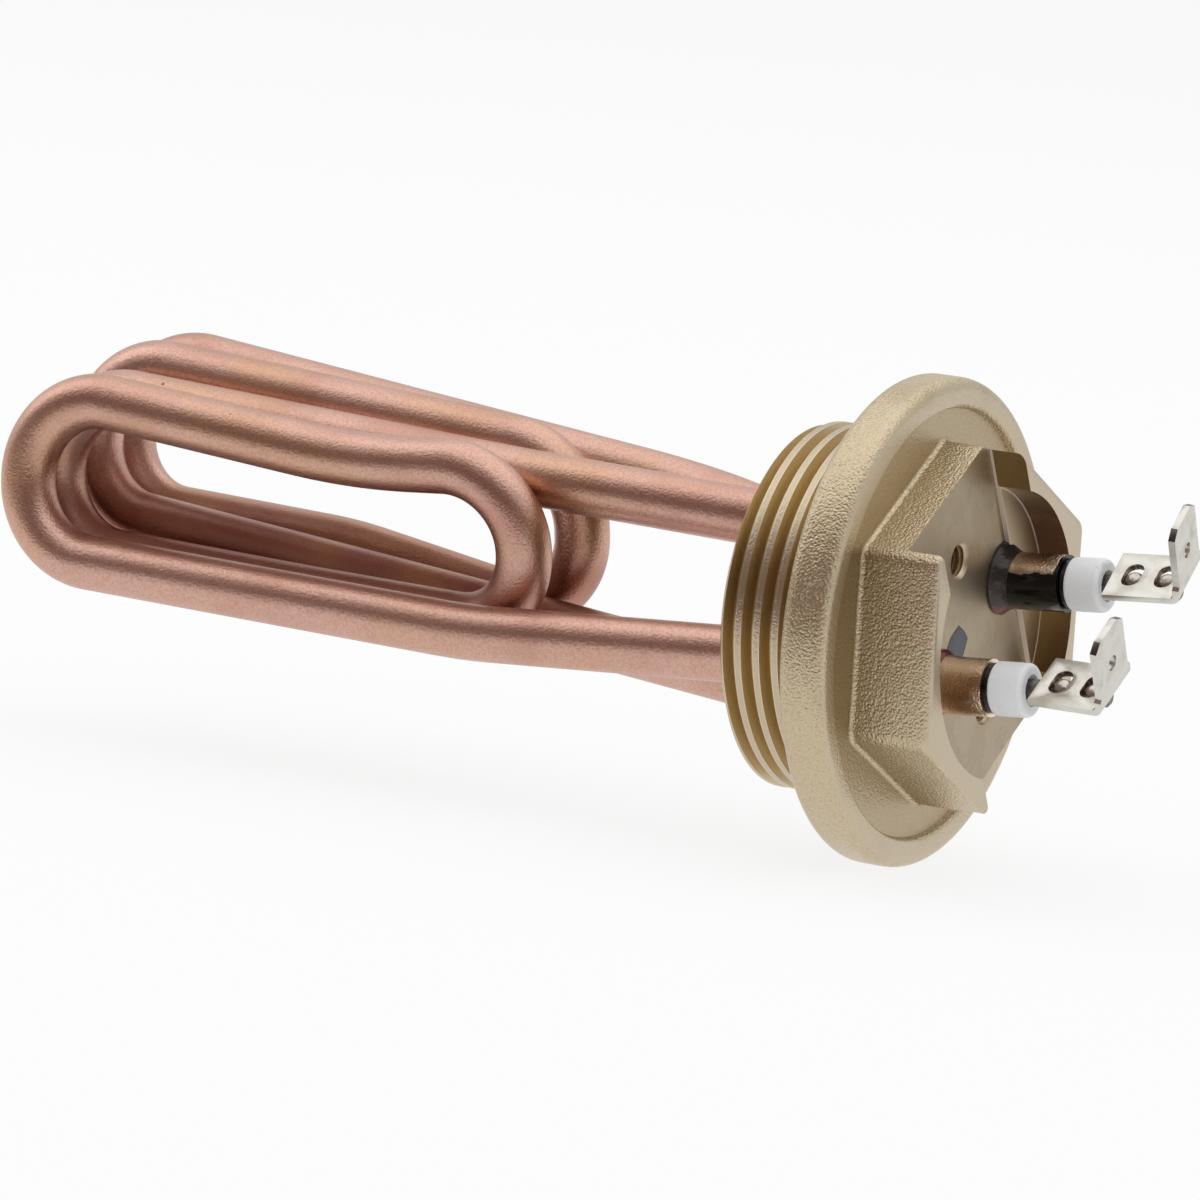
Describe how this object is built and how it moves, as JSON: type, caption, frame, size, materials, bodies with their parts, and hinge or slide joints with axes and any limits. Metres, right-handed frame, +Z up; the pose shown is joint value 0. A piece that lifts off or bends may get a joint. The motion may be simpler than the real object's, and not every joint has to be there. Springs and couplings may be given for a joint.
{
  "type": "immersion heating element",
  "caption": "Screw-in boiler heating element: looped copper tube coil brazed into a threaded brass hexagon flange, with ceramic insulators and bent tab terminals.",
  "frame": {"origin": "on the thread axis, in the plane of the flange's sealing face on the boiler side", "axes": "+X along the thread axis from the coil to the terminals, +Z up as in the picture, +Y away from the camera side"},
  "size_m": [0.1481, 0.0556, 0.0556],
  "materials": {
    "flange_brass": "sand cast, machined on thread, recess and rim step",
    "tube_copper": "annealed copper, satin",
    "braze_metal": "darkened braze alloy",
    "magnesia": "compacted powder",
    "resistance_wire": "drawn wire, wound",
    "seal_resin": "glossy black resin",
    "bush_ceramic": "unglazed white",
    "pin_steel": "drawn steel",
    "tab_steel": "nickel plated strip"
  },
  "bodies": {
    "root": {"threaded_flange": "flange_brass", "heating_tube": "tube_copper", "braze_joint_lower": "braze_metal", "braze_joint_upper": "braze_metal", "magnesia_filling": "magnesia", "resistance_core": "resistance_wire", "end_seal_lower": "seal_resin", "end_seal_upper": "seal_resin", "ceramic_bush_lower": "bush_ceramic", "ceramic_bush_upper": "bush_ceramic", "terminal_pin_lower": "pin_steel", "terminal_pin_upper": "pin_steel", "tab_terminal_lower": "tab_steel", "tab_terminal_upper": "tab_steel"}
  },
  "joints": []
}
